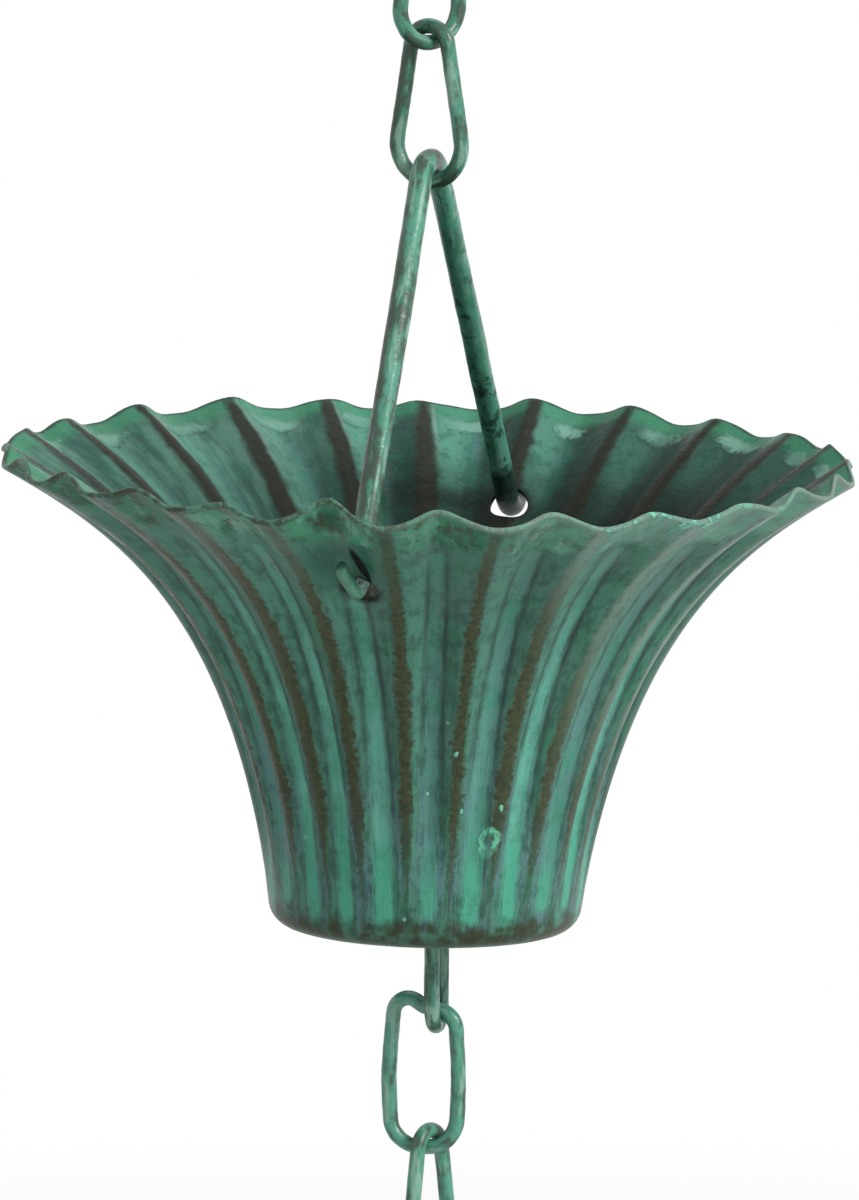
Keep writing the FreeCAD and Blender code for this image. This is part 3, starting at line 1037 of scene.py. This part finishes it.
def cup_outside_paint():
    """Green wash over brown, mint paint pooled in the valleys and green caps along the rim, with painted
    light and shade by flank and by side of the cup.
    """
    paint = Paint("cup_outside", SHADE_GREEN)
    rise, drop, tone, flank = map(paint.field, ("rise", "drop", "tone", "flank"))
    cloud = paint.speckle(9.0, 2.0)
    mottle = paint.speckle(2.4, 3.5)
    grain = paint.speckle(0.7, 3.0, 0.6)
    streak = paint.strokes(0.8, 4.0, 0.6)
    brush = paint.strokes(2.0, 3.0, 0.6)
    low = rise.step(34, 8)
    right = paint.across.step(16, 36)
    cover = grain * 0.14 + mottle * 0.5 + brush * 0.36
    ragged = streak * 0.2 + mottle * 0.4 + grain * 0.4
    lumpy = mottle * 0.6 + grain * 0.4

    # Thin green over a dark ground, with painted light on the flanks that face right, and bluish low down
    wash = paint.layers(
        GREY_GREEN,
        (cloud.step(0.38, 0.62), DULL_GREEN),
        (flank.jittered(streak, 0.9).step(0.1, -0.9, 0, 0.9), FLANK_MINT),
        (streak.step(0.4, 0.58) * low.step(0, 1, 0.25, 0.95), BLUE_GREY),
    )
    thinnest = low.step(0, 1, 0.5, 0.4)
    paint.coat((cover.step(0.4, 0.56, thinnest, 1), wash))

    # Brown where the ridges are worn, weaker at the right, where a painted highlight lies on them
    ridge = paint.field("ridge").jittered(ragged, 4.0)
    worn = ridge.step(-0.5, 0.25) * rise.step(-2, 20, 0.45, 0.92)
    worn = worn * drop.step(3, 16, 0.7, 1) * right.step(0, 1, 1, 0.35)
    brown = paint.layers(
        BROWN,
        (grain.step(0.44, 0.6), BROWN_SHADE),
        (mottle.step(0.5, 0.62, 0, 0.7) * low, BROWN_DEEP),
    )
    ridge_highlight = ridge.step(-0.35, 0.45) * right.step(0, 1, 0, 0.4)
    paint.coat((worn, brown), (ridge_highlight, SHEEN))

    # Mint in the valleys, brightest low down, with slate lines beside it, made darker on one flank as painted
    # shade
    pool = paint.field("pool").jittered(brush, 0.7)
    pooled = pool.step(-0.5, 0.5)
    lined = pool.band(-0.55, 0.6) * flank.step(-0.8, 0.3, 0.7, 1) * rise.step(8, 36, 0.25, 1)
    lined = lined * streak.step(0.66, 0.42, 0.45, 1) * drop.step(9, 17, 0.1, 1)
    bright = (rise - tone * 9.0 - streak * 6.0).step(6, 0)
    mint = paint.layers(
        BLUE_GREY,
        (tone.step(0.15, 0.75), MINT_SOFT),
        (streak.step(0.44, 0.64, 0, 0.5), BLUE_GREY),
        (cloud.step(0.45, 0.6, 0, 0.6), MINT_DEEP),
        (bright.step(0, 1, 0.15, 1), MINT),
        (cover.step(0.5, 0.4, 0, 0.3), DULL_GREEN),
    )
    thick = (tone + streak).step(0.3, 1.25, 0.7, 1) * rise.step(58, 24, 0.45, 1)
    paint.coat((lined, SLATE), (pooled * thick, mint))

    # Green caps below the rim, paler at the right as painted light, a bruise by the front bail hole and
    # painted shade on the left side
    capped = paint.field("cap").jittered(mottle, 2.8).step(-1.1, 0.9, 0, 0.9)
    green = paint.layers(
        CAP_GREEN,
        (cloud.step(0.4, 0.56), CAP_DEEP),
        (cover.step(0.5, 0.62, 0, 0.5), FLANK_MINT),
        (streak.step(0.51, 0.63, 0, 0.55), PALE),
        (cover.step(0.5, 0.41, 0, 0.75), BROWN_SHADE),
        (right.step(0, 1, 0, 0.45), PALE),
    )
    paint.coat(
        (capped, green),
        (paint.field("bruise") * 0.75, BRUISE_GREEN),
        (paint.across.step(-12, -36, 0, 0.28), SHADE_GREEN),
    )

    # A brown rim that turns pale to the right as painted light, a crust of paint on it, a brown foot and a
    # dull underside
    edge = drop.jittered(mottle, 1.6).jittered(cloud, 2.4).step(0.75, 0, 0, 0.9)
    rim = paint.layers(
        RIM_BROWN,
        (paint.across.step(-5, 30, 0, 0.85), RIM_PALE),
        (ragged.step(0.5, 0.62, 0, 0.6), GREY_GREEN),
    )
    reach = paint.across.band(CRUST_MIDDLE, CRUST_HALF) * CRUST_DEPTH - 0.2
    crust = (drop - reach).step(0.6, -0.6) * paint.ahead.step(-10, -16)
    crust = crust * lumpy.step(0.46, 0.56, 0.15, 0.95)
    foot = paint.layers(BROWN_SHADE, (mottle.step(0.48, 0.66, 0, 0.7), GREY_GREEN))
    under = paint.layers(SHADE_GREEN, (grain, DULL_GREEN))
    paint.coat(
        (edge, rim),
        (crust, CRUST_MINT),
        (rise.jittered(mottle, 4.0).step(1.8, -0.9, 0, 0.92), foot),
        (rise.jittered(mottle, 3.0).step(-1.2, -3, 0, 0.7), under),
    )

    # Flecks, the ring of the burst drop, painted shade round the bail holes, and a painted shadow as a slit
    # beside the front one
    flecks = paint.spots(6.0).step(0.06, 0.03, 0, 0.85) * rise.step(48, 22)
    ring = burst_oval(paint).jittered(lumpy, 1.8).band(0.8, 0.56).step(0.05, 0.8, 0, 0.9)
    ring = ring * mottle.step(0.4, 0.54, 0.25, 1) * paint.ahead.step(0, -4)
    middle, across, along = slit_frame()
    slit = paint.oval(middle, across, SLIT_WIDTH, along, SLIT_LENGTH)
    slit = slit.jittered(grain, 0.8).step(1.15, 0.75)
    paint.coat(
        (flecks, PALE),
        (ring, DROP_MINT),
        (paint.field("painted_shade") * 0.95, NEAR_BLACK),
        (slit, NEAR_BLACK),
    )

    roughness = cover.step(0.38, 0.62, 0.26, 0.44) - pooled * 0.04 + slit * 0.55
    relief = cover * 1.3 + pooled * 0.5 + capped * 0.6 - worn * 0.4 + crust * 1.6 + ring * 0.9 - slit * 2.0
    return paint.finish(roughness, relief, OUTSIDE_RELIEF, OUTSIDE_SHINE)


def cup_inside_paint():
    """Teal paint with dark brown lines on the crests and pale smears below the rim, with painted light and
    shade across the flutes and from side to side, painted highlights beside the lines and painted shade in
    the depth.
    """
    paint = Paint("cup_inside", TEAL)
    drop, flank = map(paint.field, ("drop", "flank"))
    cloud = paint.speckle(8.0, 2.0)
    mottle = paint.speckle(2.2, 4.0)
    grain = paint.speckle(0.7, 3.0, 0.6)
    streak = paint.strokes(0.7)
    left = paint.across.step(4, -30)
    shaded = flank.jittered(mottle, 0.9).step(0.25, -0.8)
    depth_shade = drop.jittered(cloud, 9.0).step(7, 21)
    # Painted light on the flanks that face right and on the far left; painted shade on the other flanks,
    # towards the right and in the depth
    paint.coat(
        (cloud.step(0.4, 0.62), CAP_DEEP),
        (streak.step(0.44, 0.62, 0, 0.7), BLUE_GREY),
        (flank.jittered(streak, 0.9).step(0.15, 1, 0, 0.85), MINT_PALE),
        (shaded * left.step(0, 1, 0.95, 0.7), SHADE_GREEN),
        (mottle.step(0.48, 0.64, 0, 0.55), CAP_DEEP),
        (grain.step(0.56, 0.72, 0, 0.4), SHADE_GREEN),
        (paint.across.step(-14, -34) * streak.step(0.62, 0.36, 0.05, 0.5), PALE),
        (paint.across.step(-6, 24, 0.1, 0.8), SHADE_GREEN),
        (depth_shade * left.step(0, 1, 0.9, 0.4), NEAR_BLACK),
        (drop.jittered(mottle, 2.5).step(3.6, 1.4, 0, 0.7), CAP_GREEN),
    )

    # Pale smears with a painted shadow under them, painted highlights beside the brown crest lines, and
    # painted shade round the bail holes
    smear = paint.field("cap").jittered(mottle * 0.5 + streak * 0.25 + grain * 0.25, 3.2)
    smeared = smear.step(-0.15, 0.45) * cloud.step(0.38, 0.52, 0.45, 1)
    smear_shadow = smear.band(-0.06, 0.12) * drop.step(3.6, 4.6, 0, 0.65) * grain.step(0.42, 0.54)
    crest = paint.field("ridge")
    glint = crest.band(-0.5, 0.55) * flank.step(0.05, 0.35, 0, 0.65)
    glint = glint * drop.jittered(streak, 10.0).step(14, 5) * paint.across.step(6, -10, 0.15, 1)
    paint.coat(
        (smear_shadow, NEAR_BLACK),
        (smeared * 0.85, PALE),
        (glint, SHEEN),
        (crest.jittered(mottle * 0.6 + streak * 0.4, 2.4).step(-1.1, 0.15, 0, 0.97), LINE_BROWN),
        (drop.jittered(mottle, 0.8).step(0.5, 0, 0, 0.8), SHADE_GREEN),
        (paint.field("painted_shade") * 0.95, NEAR_BLACK),
    )
    relief = grain * 0.5 + mottle * 0.9 + smeared * 0.8
    return paint.finish(grain.step(0.35, 0.7, 0.32, 0.48), relief, INSIDE_RELIEF, INSIDE_SHINE)


def drop_paint():
    """Thick pale mint paint."""
    paint = Paint("paint_drop", MINT_SOFT)
    mottle = paint.speckle(1.0, 4.0, 0.6)
    paint.coat((mottle.step(0.4, 0.6), DROP_MINT))
    return paint.finish(0.3, mottle, DROP_RELIEF, DROP_SHINE)


def wire_paint():
    """Mottled green brushed along the wire, with dark streaks where it has worn through, painted shade on the
    front leg's left side and near the bail holes, and painted light on the back leg.
    """
    paint = Paint("wire_patina", WIRE_DULL)
    streak = paint.strokes(0.7)
    patch = paint.strokes(0.3, 2.0)
    mottle = paint.speckle(1.8)
    grain = paint.speckle(0.5, 3.0, 0.6)
    dark = streak * 0.5 + mottle * 0.25 - patch * 0.3
    # Painted shade on the left side of the front leg, painted light on the back leg
    shaded_left_side = paint.field("flank").jittered(streak, 1.6)
    front_leg = paint.ahead.step(-4, -14)
    back_leg = paint.ahead.step(4, 14)
    paint.coat(
        (patch.step(0.4, 0.6), WIRE_GREEN),
        (mottle.step(0.5, 0.64, 0, 0.5), GREY_GREEN),
        (streak.step(0.47, 0.35, 0, 0.7), WIRE_PALE),
        (dark.step(0.205, 0.285, 0, 0.8), WIRE_DARK),
        (grain.step(0.6, 0.74, 0, 0.4), SHADE_GREEN),
        (front_leg * shaded_left_side.step(-0.1, 0.7, 0.05, 0.7), WIRE_DARK),
        (paint.ahead.step(-42, -46, 0, 0.8), TAIL_GREEN),
        (back_leg * 0.55, WIRE_GREEN),
        (back_leg * mottle.step(0.54, 0.62, 0, 0.75), SHADE_GREEN),
        (paint.field("painted_shade") * 0.9, NEAR_BLACK),
    )
    relief = grain * 0.3 + mottle * 0.9
    return paint.finish(mottle.step(0.35, 0.7, 0.26, 0.42), relief, WIRE_RELIEF, WIRE_SHINE)


# Stage

def seen_directly(tree):
    """1 for rays from the camera, in mirrors or through glass, 0 for rays that only light things."""
    seen = 0.0
    for name in ("Is Camera Ray", "Is Glossy Ray", "Is Transmission Ray"):
        seen = add_node(tree, "ShaderNodeLightPath", {}, name).math("MAXIMUM", seen)
    return seen


def floor_paint():
    """Pale under the chain, to keep the shadow, and running out into the white."""
    paint = Paint("pale_floor", FLOOR_COLOUR)
    away = paint.node("ShaderNodeVectorMath", {0: paint.place}, "Value", operation="LENGTH")
    pale = paint.node("ShaderNodeBsdfDiffuse", {"Color": paint.colour})
    white = paint.node("ShaderNodeEmission", {})
    share = away.step(*FLOOR_FADE) * seen_directly(paint.tree)
    both = paint.node("ShaderNodeMixShader", {0: share, 1: pale, 2: white})
    paint.node("ShaderNodeOutputMaterial", {"Surface": both})
    return paint.material


def make_floor():
    """A floor under the hanging chain."""
    floor = basic_shape("floor", bmesh.ops.create_grid, x_segments=1, y_segments=1, size=FLOOR_SIZE / 2)
    floor.location.z = CAD_BOX[0].z - FLOOR_DROP
    floor.data.materials.append(floor_paint())


def make_world():
    """White to look at, and a softer even light on the object."""
    world = bpy.data.worlds.new("studio")
    bpy.context.scene.world = world
    world.use_nodes = True
    tree = world.node_tree
    background = tree.nodes["Background"]
    inputs = {"Value": seen_directly(tree), "To Min": AMBIENT, "To Max": 1.0}
    strength = add_node(tree, "ShaderNodeMapRange", inputs)
    background.inputs["Color"].default_value = (1.0, 1.0, 1.0, 1.0)
    tree.links.new(strength.socket, background.inputs["Strength"])


def aim(thing, azimuth, elevation, distance):
    """Puts a light or a camera at a distance from the middle of the view, looking at it."""
    turn = math.radians(azimuth)
    lift = math.radians(elevation)
    back = Vector((math.sin(turn) * math.cos(lift), -math.cos(turn) * math.cos(lift), math.sin(lift)))
    thing.location = VIEW_TARGET + distance * back
    thing.rotation_mode = "QUATERNION"
    thing.rotation_quaternion = (-back).to_track_quat("-Z", "Y")


def make_light(name, azimuth, elevation, distance, size, level):
    """A soft square lamp. At level 1 it lights a facing white surface to white."""
    lamp = bpy.data.lights.new(name, "AREA")
    lamp.shape = "SQUARE"
    lamp.size = size
    lamp.energy = level * math.pi ** 2 * distance ** 2
    piece = linked(name, lamp)
    piece.visible_camera = False
    aim(piece, azimuth, elevation, distance)


def make_camera():
    """The photograph's view, from far away through a long lens."""
    camera = linked("camera", bpy.data.cameras.new("camera"))
    camera.data.lens = VIEW_LENS
    aim(camera, VIEW_AZIMUTH, VIEW_ELEVATION, VIEW_DISTANCE)
    bpy.context.scene.camera = camera


# The chain

def make_wires():
    """The four links, the bail and the eye, all in the same paint."""
    wires = (
        ("top_link", pear_path(TOP_LINK_Z), LINK_WIRE, TOP_LINK_YAW, "top_link", True, 1),
        ("upper_link", pear_path(UPPER_LINK_Z), LINK_WIRE, UPPER_LINK_YAW, "upper_link", True, 2),
        ("bail", bail_path(), BAIL_WIRE, BAIL_YAW, "bail", False, 3, BAIL_HANG, bail_wear_and_shade),
        ("base_eye", eye_path(), EYE_WIRE, EYE_YAW, "cup", False, 4, EYE_HANG),
        ("lower_link", lower_path(), LINK_WIRE, LOWER_LINK_YAW, "lower_link", False, 5),
        ("end_link", pear_path(END_LINK_Z), LINK_WIRE, END_LINK_YAW, "end_link", True, 6),
    )
    paint = wire_paint()
    for wire in wires:
        wire_piece(*wire).data.materials.append(paint)


make_wires()
make_cup()
make_drops()
make_floor()
make_world()
for light in LIGHTS:
    make_light(*light)
make_camera()
bpy.context.scene.view_settings.view_transform = "Standard"
